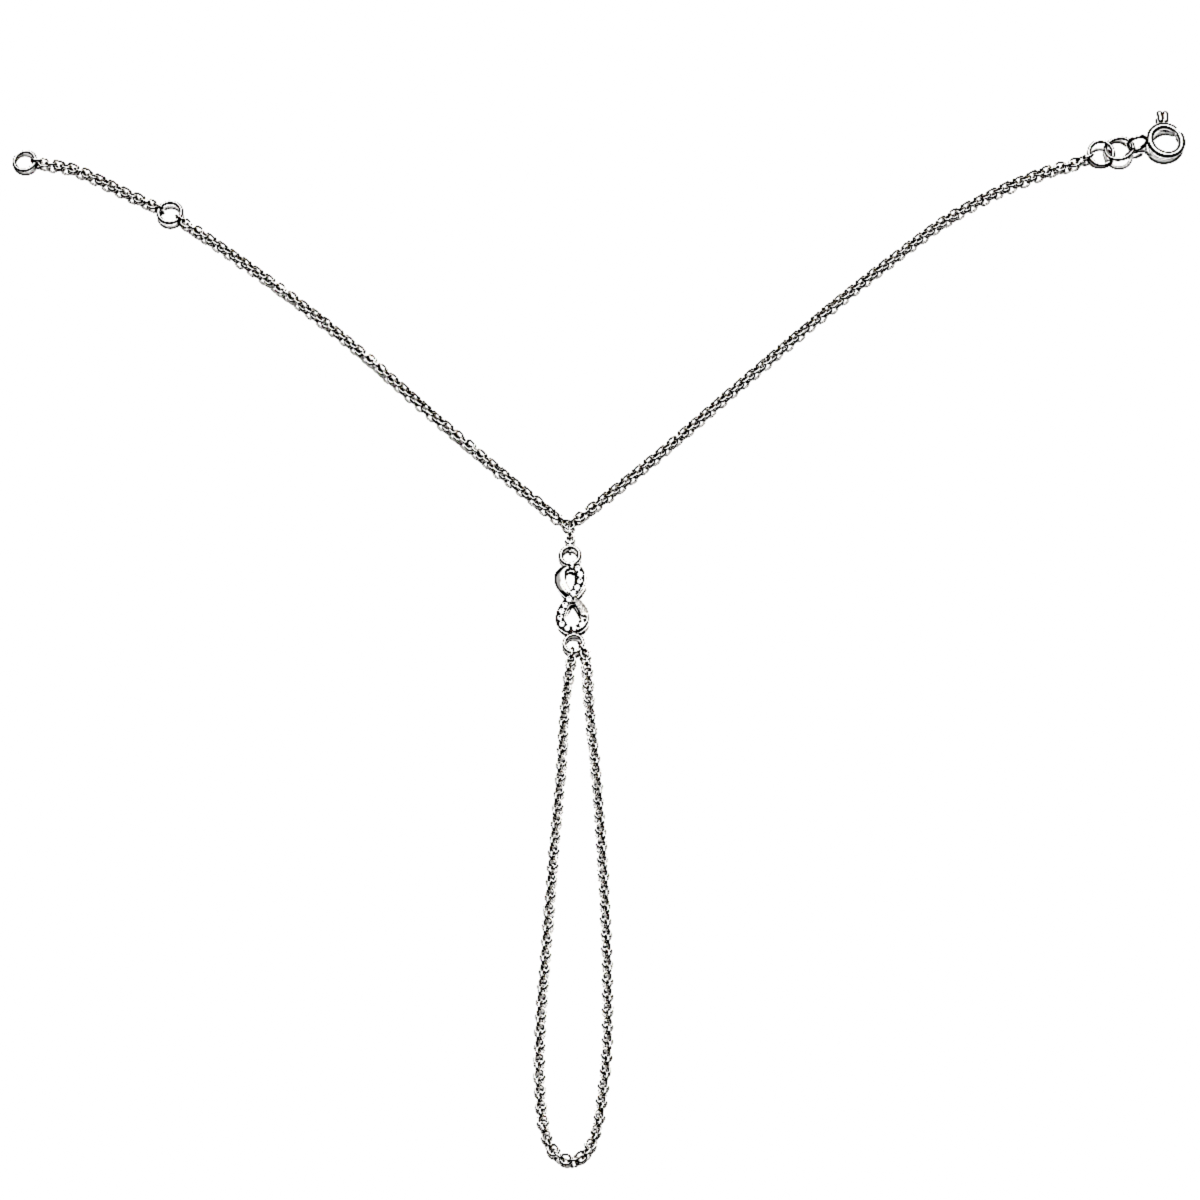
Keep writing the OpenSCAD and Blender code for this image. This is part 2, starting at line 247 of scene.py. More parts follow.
# one link of round wire, long side along X, lying flat; seam where its ends are soldered
def link_mesh(l, w, d, arc=15, straight=5, around=12, seam=True):
    r, h = (w - d) / 2, (l - w) / 2
    pts, nrm = [], []
    for side in (0, 1):
        s = 1 if side == 0 else -1
        for k in range(arc):
            a = math.radians(-90 + 180 * k / (arc - 1))
            pts.append(V(s * (h + r * math.cos(a)), s * r * math.sin(a), 0))
            nrm.append(V(s * math.cos(a), s * math.sin(a), 0))
        for k in range(1, straight):
            x = h - 2 * h * k / straight
            pts.append(V(s * x, s * r, 0))
            nrm.append(V(0, s, 0))
    pts, nrm = np.array(pts), np.array(nrm)
    n = len(pts)
    t = np.arange(n) / n
    rad = np.full(n, d / 2)
    if seam:  # a soldered joint on one long side, a hair fuller, with a shallow line
        at = (arc + straight / 2 - 0.5) / n
        rad = rad * (1 + 0.045 * bump_profile(t, at, 0.035) - 0.05 * bump_profile(t, at, 0.010))
    z = V(0, 0, 1)
    rows = [circle(pts[i], nrm[i], z, rad[i], around) for i in range(n)]
    return np.vstack(rows), n, around


def link_faces(n, around):
    f = []
    for i in range(n):
        p = (i + 1) % n
        for j in range(around):
            q = (j + 1) % around
            f.append([i * around + j, p * around + j, p * around + q, i * around + q])
    return f


def link_rotation(p, q, roll):
    d = q - p
    return rot(roll, -math.degrees(math.atan2(d[2], math.hypot(d[0], d[1]))), math.degrees(math.atan2(d[1], d[0])))


def knots(table, s):
    t = np.array(table, float)
    # smooth steps between the knots
    i = int(np.clip(np.searchsorted(t[:, 0], s, side="right") - 1, 0, len(t) - 2))
    u = (s - t[i, 0]) / (t[i + 1, 0] - t[i, 0])
    u = min(max(u, 0), 1)
    u = u * u * (3 - 2 * u)
    return t[i, 1] + u * (t[i + 1, 1] - t[i, 1])


def chain_of_links(mesh, points, pitch_near, first_roll, last_roll, lay, seed, jitter=4.0, shift=0.0, run_w=RUN_W):
    """Every link of one run of chain. lay: table of running share 0..1 and the roll that the chain has there,
    besides the quarter turn from one link to the next. shift: added to the table away from the ends."""
    Q = curve(points, 8)
    L = lengths(Q)
    total = L[-1]
    count = int(round(total / pitch_near))
    pitch = total / count
    rng = np.random.default_rng(seed)
    bases = [link_mesh(LINK_L, LINK_W + (run_w - LINK_W) * k / 3, WIRE) for k in range(4)]
    faces = link_faces(*bases[0][1:])
    for i in range(count):
        p, q = point_at(Q, L, i * pitch), point_at(Q, L, (i + 1) * pitch)
        share = (i + 0.5) / count
        roll0 = knots(lay, share) + shift * min(1, 8 * share, 8 * (1 - share))
        roll = roll0 + 90 * i
        near = min(3, i, count - 1 - i)
        fade = near / 3.0
        base = bases[near][0]
        wob = rng.normal(0, jitter) * fade
        side = rng.normal(0, 0.006) * fade
        if i == 0:
            roll, wob = first_roll, 0
        if i == count - 1:
            roll, wob = last_roll, 0
        # how high the chain lies depends on how its links are turned
        b = math.radians(roll0 + wob)
        half = (LINK_W + (run_w - LINK_W) * fade - WIRE) / 2
        lift = half * max(abs(math.sin(b)), abs(math.cos(b))) + WIRE / 2 + 0.004 - CHAIN_R
        c = (p + q) / 2 + V(side, side, 0)
        c[2] += lift if lift > 0 else lift * fade
        R = link_rotation(p, q, roll + wob)
        if rng.random() < 0.5:
            R = R @ rot(180, 0, 0)
        if rng.random() < 0.5:
            R = R @ rot(0, 0, 180)
        mesh.add((R @ base.T).T + c, faces)
    return count, pitch


def ring_mesh(mesh, ring, wire=RING_WIRE, seam_at=0.2, n=112, around=22, mat=0):
    r = (ring["d"] - wire) / 2
    t = np.arange(n) / n
    rad = wire / 2 * (1 + 0.018 * bump_profile(t, seam_at, 0.030) - 0.055 * bump_profile(t, seam_at, 0.006))
    rows = []
    for i in range(n):
        a = 2 * math.pi * t[i]
        nrm = V(math.cos(a), math.sin(a), 0)
        rows.append(circle(r * nrm, nrm, V(0, 0, 1), rad[i], around))
    pts = [(ring["R"] @ w.T).T + ring["at"] for w in rows]
    mesh.grid(pts, closed_u=True, mat=mat)


# ---------------------------------------------------------------------------
# materials
# ---------------------------------------------------------------------------
def nodes_of(mat):
    mat.use_nodes = True
    nt = mat.node_tree
    return nt, nt.nodes, nt.links, nt.nodes["Principled BSDF"]


# One plated silver at different brightnesses: the chain's copy is painted lighter and the rings' and clasp's copy
# painted darker. These are painted light and shade for how bright each part shows. The slight warm cast is the metal's
# own tone.
SHADED_SILVER = (0.670, 0.664, 0.658)
WARM_LIT_SILVER = (0.838, 0.828, 0.815)
CHARM_SILVER = (0.760, 0.751, 0.739)


def silver(name, tint=SHADED_SILVER, rough=(0.03, 0.10), scratch=0.02, scale=3000.0, tarnish=0.10):
    """Polished, plated silver: fine wipe marks, soft cloudy polish, slightly greyer where it is handled."""
    mat = bpy.data.materials.new(name)
    nt, N, K, bsdf = nodes_of(mat)
    bsdf.inputs["Metallic"].default_value = 1.0
    tc = N.new("ShaderNodeTexCoord")
    cloud = N.new("ShaderNodeTexNoise")
    cloud.inputs["Scale"].default_value = scale * 0.35
    cloud.inputs["Detail"].default_value = 3.0
    K.new(tc.outputs["Object"], cloud.inputs["Vector"])
    fine = N.new("ShaderNodeTexNoise")
    fine.inputs["Scale"].default_value = scale * 3
    fine.inputs["Detail"].default_value = 4.0
    fine.inputs["Roughness"].default_value = 0.65
    stretch = N.new("ShaderNodeMapping")
    stretch.inputs["Rotation"].default_value = (0.3, 0.5, 0.7)
    stretch.inputs["Scale"].default_value = (1.0, 7.0, 1.0)
    K.new(tc.outputs["Object"], stretch.inputs["Vector"])
    K.new(stretch.outputs["Vector"], fine.inputs["Vector"])
    ramp = N.new("ShaderNodeMapRange")
    ramp.inputs["From Min"].default_value = 0.3
    ramp.inputs["From Max"].default_value = 0.7
    ramp.inputs["To Min"].default_value = rough[0]
    ramp.inputs["To Max"].default_value = rough[1]
    K.new(cloud.outputs["Fac"], ramp.inputs["Value"])
    K.new(ramp.outputs["Result"], bsdf.inputs["Roughness"])
    col = N.new("ShaderNodeMix")
    col.data_type = "RGBA"
    col.inputs["A"].default_value = (*tint, 1)
    col.inputs["B"].default_value = (tint[0] * (1 - tarnish), tint[1] * (1 - tarnish * 1.05), tint[2] * (1 - tarnish * 1.15), 1)
    grey = N.new("ShaderNodeMapRange")
    grey.inputs["From Min"].default_value = 0.45
    grey.inputs["From Max"].default_value = 0.75
    K.new(fine.outputs["Fac"], grey.inputs["Value"])
    K.new(grey.outputs["Result"], col.inputs["Factor"])
    K.new(col.outputs["Result"], bsdf.inputs["Base Color"])
    bump = N.new("ShaderNodeBump")
    bump.inputs["Strength"].default_value = scratch
    bump.inputs["Distance"].default_value = 0.00002
    K.new(fine.outputs["Fac"], bump.inputs["Height"])
    K.new(bump.outputs["Normal"], bsdf.inputs["Normal"])
    return mat


def grain_silver(name):
    """Silver with a fine frosted, beaded grain."""
    mat = silver(name, rough=(0.10, 0.25), scratch=0.05)
    nt, N, K, bsdf = nodes_of(mat)
    vor = N.new("ShaderNodeTexVoronoi")
    vor.inputs["Scale"].default_value = 6500.0
    tc = N.new("ShaderNodeTexCoord")
    K.new(tc.outputs["Object"], vor.inputs["Vector"])
    bump = N.new("ShaderNodeBump")
    bump.inputs["Strength"].default_value = 0.6
    bump.inputs["Distance"].default_value = 0.00004
    bump.invert = True
    K.new(vor.outputs["Distance"], bump.inputs["Height"])
    K.new(bump.outputs["Normal"], bsdf.inputs["Normal"])
    return mat


def stone_material(name):
    """Clear, hard stone with crisp facets and a few tiny dust specks on its polish."""
    mat = bpy.data.materials.new(name)
    nt, N, K, bsdf = nodes_of(mat)
    bsdf.inputs["Base Color"].default_value = (0.98, 0.975, 0.98, 1)
    bsdf.inputs["Transmission Weight"].default_value = 1.0
    bsdf.inputs["IOR"].default_value = 2.1
    tc = N.new("ShaderNodeTexCoord")
    noise = N.new("ShaderNodeTexNoise")
    noise.inputs["Scale"].default_value = 9000.0
    noise.inputs["Detail"].default_value = 2.0
    K.new(tc.outputs["Object"], noise.inputs["Vector"])
    ramp = N.new("ShaderNodeMapRange")
    ramp.inputs["From Min"].default_value = 0.55
    ramp.inputs["From Max"].default_value = 0.8
    ramp.inputs["To Min"].default_value = 0.0
    ramp.inputs["To Max"].default_value = 0.08
    K.new(noise.outputs["Fac"], ramp.inputs["Value"])
    K.new(ramp.outputs["Result"], bsdf.inputs["Roughness"])
    return mat


# the chain takes the lighter, painted-lit copy of the silver; the rings, clasp and grain take the darker, painted-shade
# copy
chain_mat = silver("chain_silver_polished", tint=WARM_LIT_SILVER, rough=(0.04, 0.12), scale=2600)
ring_mat = silver("ring_silver_polished", rough=(0.03, 0.09), scale=2000)
solder_mat = silver("solder_seam", tint=(0.86, 0.86, 0.87), rough=(0.14, 0.28), scratch=0.08, scale=4000)
clasp_mat = silver("clasp_silver_polished", rough=(0.02, 0.07), scale=1500, scratch=0.03)
bore_mat = silver("clasp_bore_dull", tint=(0.42, 0.42, 0.43), rough=(0.25, 0.5), scratch=0.1, scale=3000)
charm_mat = silver("charm_silver_polished", tint=CHARM_SILVER, rough=(0.02, 0.08), scale=1800, scratch=0.02)
grain_mat = grain_silver("charm_grain")
ground_mat = silver("grain_ground", tint=(0.60, 0.585, 0.565), rough=(0.25, 0.45), scratch=0.1, scale=3000)
# the floor of each stone's seat: dark silver, painted shade in the recess between and under the stones
seat_painted_shade_mat = silver("setting_painted_shade", tint=(0.38, 0.37, 0.36), rough=(0.3, 0.55), scratch=0.1, scale=3000)
stone_mat = stone_material("clear_stone")

# ---------------------------------------------------------------------------
# chains
# ---------------------------------------------------------------------------
way = routes()

m = Mesh()
chain_of_links(m, way["extender"], 0.955, 90, 90, [(0, 100), (0.2, 132), (0.55, 138), (0.8, 128), (1, 100)], seed=11, jitter=5)
ext = make_object("extender_links", m, [chain_mat], CHAIN_BODY)
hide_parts("extender_chain")

m = Mesh()
chain_of_links(m, way["left"], 0.955, 90, 90,
               [(0, 100), (0.06, 126), (0.15, 142), (0.27, 118), (0.36, 140), (0.50, 121), (0.62, 143), (0.74, 120), (0.86, 140),
                (0.94, 132), (1, 170)],
               seed=12, jitter=6)
base, n, around = link_mesh(LINK_L + 0.11, LINK_W + 0.06, WIRE)
m.add((rot(0, 0, JUNCTION_TURN) @ base.T).T + JUNCTION_AT, link_faces(n, around))
left = make_object("wrist_links_left", m, [chain_mat], CHAIN_BODY)
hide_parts("wrist_chain_left")

m = Mesh()
chain_of_links(m, way["right"], 0.9625, 90, 105, [(0, 100), (0.07, 135), (0.2, 128), (0.45, 137), (0.7, 130), (0.9, 136), (0.97, 110), (1, 15)],
               seed=13, jitter=5, shift=6)
right = make_object("wrist_links_right", m, [chain_mat], CHAIN_BODY)
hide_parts("wrist_chain_right")

m = Mesh()
chain_of_links(m, way["finger"], 0.94, 90, 90,
               [(0, 100), (0.05, 130), (0.16, 137), (0.24, 128), (0.33, 136), (0.45, 130), (0.55, 138),
                (0.66, 131), (0.78, 139), (0.90, 133), (0.96, 115), (1, 90)], seed=14, jitter=5, shift=-18, run_w=LOOP_W)
finger = make_object("finger_loop_links", m, [chain_mat], CHAIN_BODY)
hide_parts("finger_chain")

m = Mesh()
base, n, around = link_mesh(LINK_L, LINK_W, WIRE)
a = JUNCTION_AT + V(0.17, -0.26, 0)
b = on_charm(0, TOP_EYE_Y) + V(0, (TOP_EYE_D - RING_WIRE) / 2 - RING_WIRE / 2 - WIRE / 2 - 0.03, 0)
d = unit(b - a)
span = LINK_L - WIRE
gap = (3 * span - np.linalg.norm(b - a)) / 2
for i in range(3):
    c = a + (span / 2 + i * (span - gap)) * d
    R = rot(0 if i == 1 else 90, 0, math.degrees(math.atan2(d[1], d[0])))
    m.add((R @ base.T).T + c, link_faces(n, around))
drop = make_object("drop_links", m, [chain_mat], CHAIN_BODY)
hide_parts("drop_chain")

# ---------------------------------------------------------------------------
# loose rings
# ---------------------------------------------------------------------------
for name, node, ring, seam in (("end_ring_soldered", "end_ring", END_RING, 0.30),
                               ("size_ring_soldered", "size_ring", SIZE_RING, 0.72),
                               ("jump_ring_inner", "joining_ring_inner", INNER_RING, 0.62),
                               ("jump_ring_outer", "joining_ring_outer", OUTER_RING, 0.30)):
    m = Mesh()
    ring_mesh(m, ring, seam_at=seam)
    o = make_object(name, m, [ring_mat], CHAIN_BODY)
    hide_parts(node)


# ---------------------------------------------------------------------------
# clasp
# ---------------------------------------------------------------------------
def arc_frame(deg):
    a = math.radians(deg)
    nrm = V(math.cos(a), math.sin(a), 0)
    return CLASP_MID * nrm, nrm


def tube_ring(deg, r, vs):
    c, nrm = arc_frame(deg)
    return np.array([c + r * (math.cos(v) * nrm + math.sin(v) * V(0, 0, 1)) for v in vs])


def place(pts, R, at):
    return (R @ np.asarray(pts).T).T + at


case = Mesh()
half_slot = math.asin(0.18 / (CLASP_TUBE / 2))
body_vs = list(np.linspace(half_slot, 2 * math.pi - half_slot, 31))
slot_vs = list(np.linspace(-half_slot, half_slot, 5))
all_vs = body_vs + slot_vs[1:-1]
SLOT = (TRIGGER_TURN - 6, TRIGGER_TURN + SLIDE + 6)
RO, RI = CLASP_TUBE / 2, CLASP_BORE / 2


def case_grid(rows, vs_closed=True, flip=False, mat=0):
    case.grid([place(r, CLASP_R, CLASP_AT) for r in rows], closed_v=vs_closed, flip=flip, mat=mat)


# outer wall, with rounded lips at both mouths
lip = [(GAP_TO, RO - 0.055), (GAP_TO + 0.35, RO - 0.018), (GAP_TO + 1.3, RO)]
us = lip + [(u, RO) for u in np.linspace(GAP_TO + 3, SLOT[0], 18)]
case_grid([tube_ring(u, r, all_vs) for u, r in us])
us_slot = list(np.linspace(SLOT[0], SLOT[1], 25))
case_grid([tube_ring(u, RO, body_vs) for u in us_slot], vs_closed=False)
far = [(u, RO) for u in np.linspace(SLOT[1], GAP_FROM + 360 - 3, 118)]
far += [(GAP_FROM + 360 - 1.3, RO), (GAP_FROM + 360 - 0.35, RO - 0.018), (GAP_FROM + 360, RO - 0.055)]
case_grid([tube_ring(u, r, all_vs) for u, r in far])
# inner wall
case_grid([tube_ring(u, RI, all_vs) for u in np.linspace(GAP_TO, SLOT[0], 12)], flip=True, mat=1)
case_grid([tube_ring(u, RI, body_vs) for u in us_slot], vs_closed=False, flip=True, mat=1)
case_grid([tube_ring(u, RI, all_vs) for u in np.linspace(SLOT[1], 160, 10)], flip=True, mat=1)
case.fan(place(tube_ring(160, RI, all_vs), CLASP_R, CLASP_AT), place([arc_frame(160)[0]], CLASP_R, CLASP_AT)[0], mat=1)
case_grid([tube_ring(u, RI, all_vs) for u in np.linspace(370, GAP_FROM + 360, 8)], flip=True, mat=1)
case.fan(place(tube_ring(370, RI, all_vs), CLASP_R, CLASP_AT), place([arc_frame(370)[0]], CLASP_R, CLASP_AT)[0], mat=1)
# the two mouths and the slot's four edges
for u in (GAP_TO, GAP_FROM + 360):
    case_grid([tube_ring(u, RO - 0.055, all_vs), tube_ring(u, RI, all_vs)])
for v in (half_slot, 2 * math.pi - half_slot):
    case_grid([tube_ring(u, RO, [v]) for u in us_slot], vs_closed=False)
    rows_o = np.vstack([tube_ring(u, RO, [v]) for u in us_slot])
    rows_i = np.vstack([tube_ring(u, RI, [v]) for u in us_slot])
    case.grid([place(rows_o, CLASP_R, CLASP_AT), place(rows_i, CLASP_R, CLASP_AT)], closed_v=False)
for u in SLOT:
    case.grid([place(tube_ring(u, RO, slot_vs), CLASP_R, CLASP_AT), place(tube_ring(u, RI, slot_vs), CLASP_R, CLASP_AT)],
              closed_v=False)

# the eye, soldered to the rim, with a small fillet of solder
eye_c = CLASP_AT + CLASP_R @ (rot(0, 0, EYE_TURN) @ V((CLASP_D + EYE_D) / 2 - 0.12, 0, 0))
eye_R = CLASP_R @ rot(0, 0, EYE_TURN) @ rot(EYE_LEAN, 0, 0)
ring_mesh(case, dict(at=eye_c, d=EYE_D, R=eye_R), wire=RING_WIRE - 0.02, seam_at=0.985)


def blob(mesh, centre, R, size, mat=0, nu=20, nv=14, wave=0.06):
    """A small rounded mass with a slightly uneven skin."""
    rows = []
    for i in range(1, nv):
        th = math.pi * i / nv
        row = []
        for j in range(nu):
            ph = 2 * math.pi * j / nu
            k = 1 + wave * math.sin(3 * ph + 1.3) * math.sin(th) ** 2
            row.append(R @ V(size[0] * k * math.sin(th) * math.cos(ph), size[1] * k * math.sin(th) * math.sin(ph),
                             size[2] * math.cos(th)) + centre)
        rows.append(np.array(row))
    mesh.grid(rows, mat=mat)
    mesh.fan(rows[0], R @ V(0, 0, size[2]) + centre, mat=mat, flip=True)
    mesh.fan(rows[-1], R @ V(0, 0, -size[2]) + centre, mat=mat)


eye_join = CLASP_AT + CLASP_R @ (rot(0, 0, EYE_TURN) @ V(CLASP_D / 2 + 0.02, 0, 0))
blob(case, eye_join, CLASP_R @ rot(0, 0, EYE_TURN), (0.24, 0.34, 0.33), mat=2)
clasp = make_object("clasp_case_tube", case, [clasp_mat, bore_mat, solder_mat], CHAIN_BODY, angle=40)
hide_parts("clasp_case")

# the tongue and its trigger
t = Mesh()
rt = TONGUE_D / 2
vs = list(np.linspace(0, 2 * math.pi, 21)[:-1])
rows = []
for k in range(7):  # rounded tip
    q = math.pi / 2 * k / 6
    rows.append(tube_ring(GAP_FROM - 7 + math.degrees(rt * (1 - math.sin(q)) / CLASP_MID) * 0.9, max(rt * math.cos(math.pi / 2 - q), 1e-4), vs))
rows = rows[1:]
rows.sort(key=lambda r: math.atan2(r[:, 1].mean(), r[:, 0].mean()))
rows += [tube_ring(u, rt, vs) for u in np.linspace(GAP_FROM - 2.5, TRIGGER_TURN + 10, 50)]
t.grid([place(r, CLASP_R, CLASP_AT) for r in rows])
t.fan(place(rows[0], CLASP_R, CLASP_AT), place([rows[0].mean(0)], CLASP_R, CLASP_AT)[0])
t.fan(place(rows[-1], CLASP_R, CLASP_AT), place([rows[-1].mean(0)], CLASP_R, CLASP_AT)[0], flip=True)
TR = CLASP_R @ rot(0, 0, TRIGGER_TURN)


def rounded_section(hx, hy, r, k=4):
    """Outline of a box with rounded corners, in the plane across the trigger."""
    out = []
    for cx, cy, a0 in ((hx - r, hy - r, 0), (-hx + r, hy - r, 90), (-hx + r, -hy + r, 180), (hx - r, -hy + r, 270)):
        for i in range(k + 1):
            a = math.radians(a0 + 90 * i / k)
            out.append((cx + r * math.cos(a), cy + r * math.sin(a)))
    return out


def trigger_rows(stations, shape):
    rows = []
    for x, s, hy in stations:
        rows.append(np.array([TR @ V(x, u * s, v * hy) + CLASP_AT for u, v in shape]))
    return rows


stem = rounded_section(0.15, 0.13, 0.05)
rows = [np.array([TR @ V(x, u * k, v * k) + CLASP_AT for u, v in stem])
        for x, k in ((CLASP_MID + 0.05, 1.0), (2.50, 1.0), (2.66, 1.0), (2.74, 1.25), (2.80, 1.5))]
t.grid(rows)
# two lobes side by side, grown together at the foot, with a groove between them
for s in (-1, 1):
    prof = [(2.70, 0.05), (2.705, 0.24), (2.74, 0.31), (2.82, 0.345), (3.00, 0.355), (3.25, 0.362), (3.55, 0.372), (3.80, 0.378)]
    prof += [(3.88 + 0.38 * math.sin(q), 0.38 * math.cos(q)) for q in np.linspace(0.12, math.pi / 2 * 0.97, 9)]
    rows = []
    for x, r in prof:
        lean = 0.34 + 0.05 * max(0, (x - 3.2))
        row = []
        for j in range(24):
            ph = 2 * math.pi * j / 24
            u, v = r * math.cos(ph), 0.92 * r * math.sin(ph)
            row.append(TR @ V(x, s * lean + u, v) + CLASP_AT)
        rows.append(np.array(row))
    t.grid(rows)
    t.fan(rows[0], rows[0].mean(0))
    t.fan(rows[-1], TR @ V(4.262, s * 0.39, 0) + CLASP_AT, flip=True)
# the foot that joins the lobes
foot = rounded_section(0.62, 0.20, 0.16, k=5)
rows = [np.array([TR @ V(x, u * k, v * k) + CLASP_AT for u, v in foot])
        for x, k in ((2.70, 0.72), (2.72, 0.86), (2.78, 0.96), (2.88, 1.0), (3.05, 0.97), (3.14, 0.80), (3.17, 0.4))]
t.grid(rows)
t.fan(rows[0], rows[0].mean(0))
t.fan(rows[-1], rows[-1].mean(0), flip=True)
tongue = make_object("clasp_tongue_trigger", t, [clasp_mat], TONGUE_BODY, angle=50)
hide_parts("clasp_slider")


# ---------------------------------------------------------------------------
# ornament
# ---------------------------------------------------------------------------
def strand_line(table, n=10):
    C = curve([[p[0] * CHARM_HW, p[1] * CHARM_HH, p[2]] for p in table], n)
    return C


def strand_sides(C):
    m_ = len(C)
    out = []
    for i in range(m_):
        d_ = C[min(i + 1, m_ - 1)] - C[max(i - 1, 0)]
        out.append(unit(V(-d_[1], d_[0])[:2]))
    return np.array(out)


def to_charm(pts):
    return (CHARM_R @ np.asarray(pts).T).T + CHARM_AT


def sweep_strand(mesh, C, profile, mat=0, cap=True, special=()):
    """profile(i, w) gives the cross-section's points as (across, up), from the left foot over the top to the right foot.
    special: (first column, last column, material, which rows) for stretches of the cross-section."""
    sides = strand_sides(C)
    rows = []
    for i in range(len(C)):
        pts = []
        for a_, z_ in profile(i, C[i][2]):
            pts.append([C[i][0] + sides[i][0] * a_, C[i][1] + sides[i][1] * a_, z_])
        rows.append(to_charm(pts))
    start, wide = len(mesh.m), len(rows[0])
    mesh.grid(rows, mat=mat)
    for j0, j1, kind, here in special:
        for i in (i for i in range(len(rows) - 1) if here(i)):
            for j in range(j0, j1):
                mesh.m[start + i * wide + j] = kind
    if cap:
        mesh.fan(rows[0], rows[0].mean(0), mat=mat)
        mesh.fan(rows[-1], rows[-1].mean(0), mat=mat, flip=True)
    return rows


def bevelled(h, w, share, fall):
    """Polished strand: rounded foot, a soft bevel along its left side, a nearly flat top and an upright right side.
    share: how much of the width the bevel takes, fall: how far it drops."""
    crease = -w + 2 * w * share
    edge = h - fall
    pts = [(-w + 0.05, 0.0), (-w + 0.012, 0.04), (-w, 0.10), (-w, edge - 0.10), (-w + 0.012, edge - 0.045), (-w + 0.045, edge)]
    for q, up in ((0.2, 0.25), (0.4, 0.47), (0.6, 0.67), (0.8, 0.84)):
        pts.append((-w + 0.045 + (crease + w - 0.045) * q, edge + (h - 0.02 - edge) * up))
    pts += [(crease, h - 0.02), (crease + 0.03, h - 0.034), (crease + 0.06, h - 0.006)]
    for q in (0.3, 0.6, 0.85):
        pts.append((crease + 0.06 + (w - 0.20 - crease) * q, h + 0.012 * math.sin(math.pi * q)))
    pts += [(w - 0.13, h - 0.004), (w - 0.08, h - 0.030), (w - 0.035, h - 0.075), (w, h - 0.16), (w, 0.10), (w - 0.012, 0.04), (w - 0.05, 0.0)]
    return pts


charm = Mesh()
plain = strand_line(PLAIN_STRAND, 16)
set_line = strand_line(SET_STRAND)
PL = lengths(plain[:, :2])
SL = lengths(set_line[:, :2])


def scoop(x, y):
    """A polished dip where the grain ends."""
    if y > -1.5:
        return 0.0
    down = min(1.0, max(0.0, (-2.55 - y) / 0.42))
    back = min(1.0, max(0.0, (-2.97 - y) / 0.75))
    return 0.27 * (down - back)


def tuck(x, y):
    """The lower end goes under the last stones."""
    return 0.13 * min(1.0, max(0.0, (0.95 - x) / 0.25)) if y < -3.2 else 0.0


def grained(y):
    return -2.50 < y < -0.50


def plain_profile(i, w):
    x, y = plain[i][0], plain[i][1]
    dip = math.exp(-((x * x + y * y) / 0.55))  # passes under at the crossing
    h = 0.985 - 0.32 * dip - tuck(x, y)
    if y > 0:  # the bevel is broad on the upper lobe and narrow on the lower one
        t = min(1.0, max(0.0, (y - 1.0) / 1.6))
        return bevelled(h, w, 0.50, 0.245 + 0.055 * t)
    k = min(1.0, -y / 0.8)
    pts = bevelled(h, w, 0.50 - 0.32 * k, 0.245 - 0.105 * k)
    deep = scoop(x, y)
    return [(a_, z_ - (deep * min(1.0, max(0.0, 1.9 - abs(a_ + 0.10 * w) / (0.34 * w))) if z_ > 0.5 else 0.0)) for a_, z_ in pts]


sweep_strand(charm, plain, plain_profile, special=((5, 18, 4, lambda i: grained(plain[i][1])),))

# stones along the set strand: where they sit, at even steps along the line
STONE_D = 0.85
SEAT = 0.44  # half the width of the row of seats
first, last = 0.30, SL[-1] - 0.55
count = int(round((last - first) / 0.92)) + 1
stone_s = np.linspace(first, last, count)
step = stone_s[1] - stone_s[0]


def at_s(C, L, s):
    p = np.array([np.interp(s, L, C[:, k]) for k in range(3)])
    q0 = np.array([np.interp(s - 0.05, L, C[:, k]) for k in range(2)])
    q1 = np.array([np.interp(s + 0.05, L, C[:, k]) for k in range(2)])
    d_ = unit(q1 - q0)
    return p, V(d_[0], d_[1]), V(-d_[1], d_[0])


# the bed under the stones: a band with scalloped edges, one scallop a stone
fine_s = np.linspace(0, SL[-1], 190)
bed = np.array([[np.interp(s, SL, set_line[:, k]) for k in range(3)] for s in fine_s])


def bed_profile(i, w):
    s = fine_s[i]
    ph = (s - first) / step
    inside = first - step / 2 <= s <= last + step / 2
    wave = abs(math.cos(math.pi * ph)) if inside else 1.0
    w2 = w * (0.93 + 0.07 * wave ** 0.6)
    top = 0.93
    seat = min(SEAT, w2 - 0.10)
    deep = 0.30 if inside else 0.06
    bevel = min(0.26, (w2 - seat) * 1.3)
    return [(-w2 + 0.05, 0.0), (-w2 + 0.012, 0.04), (-w2, 0.10), (-w2, (top - bevel) * 0.6), (-w2, top - bevel - 0.04),
            (-w2 + 0.015, top - bevel), (-seat - 0.05, top - 0.02), (-seat - 0.02, top - 0.004),
            (-seat, top - 0.03), (-seat + 0.01, top - deep), (0, top - deep - 0.02), (seat - 0.01, top - deep), (seat, top - 0.03),
            (seat + 0.02, top - 0.004), (w2 - 0.08, top), (w2 - 0.045, top - 0.02), (w2 - 0.015, top - 0.06), (w2, top - 0.13),
            (w2, top * 0.6), (w2, 0.10), (w2 - 0.012, 0.04), (w2 - 0.05, 0.0)]


# columns 8 to 12, the seat's floor and inner walls, take the painted shade
sweep_strand(charm, bed, bed_profile, special=((8, 12, 3, lambda i: True),))

# the two eyelets, soldered to the lobes
for d_e, y_e, seam in ((TOP_EYE_D, TOP_EYE_Y, 0.75), (LOW_EYE_D, LOW_EYE_Y, 0.25)):
    ring_mesh(charm, dict(at=on_charm(0, y_e), d=d_e, R=CHARM_R), seam_at=seam)
    foot_y = y_e - math.copysign(d_e / 2 - 0.12, y_e)
    blob(charm, on_charm(0.0, foot_y), CHARM_R, (0.42, 0.22, 0.30), mat=1)


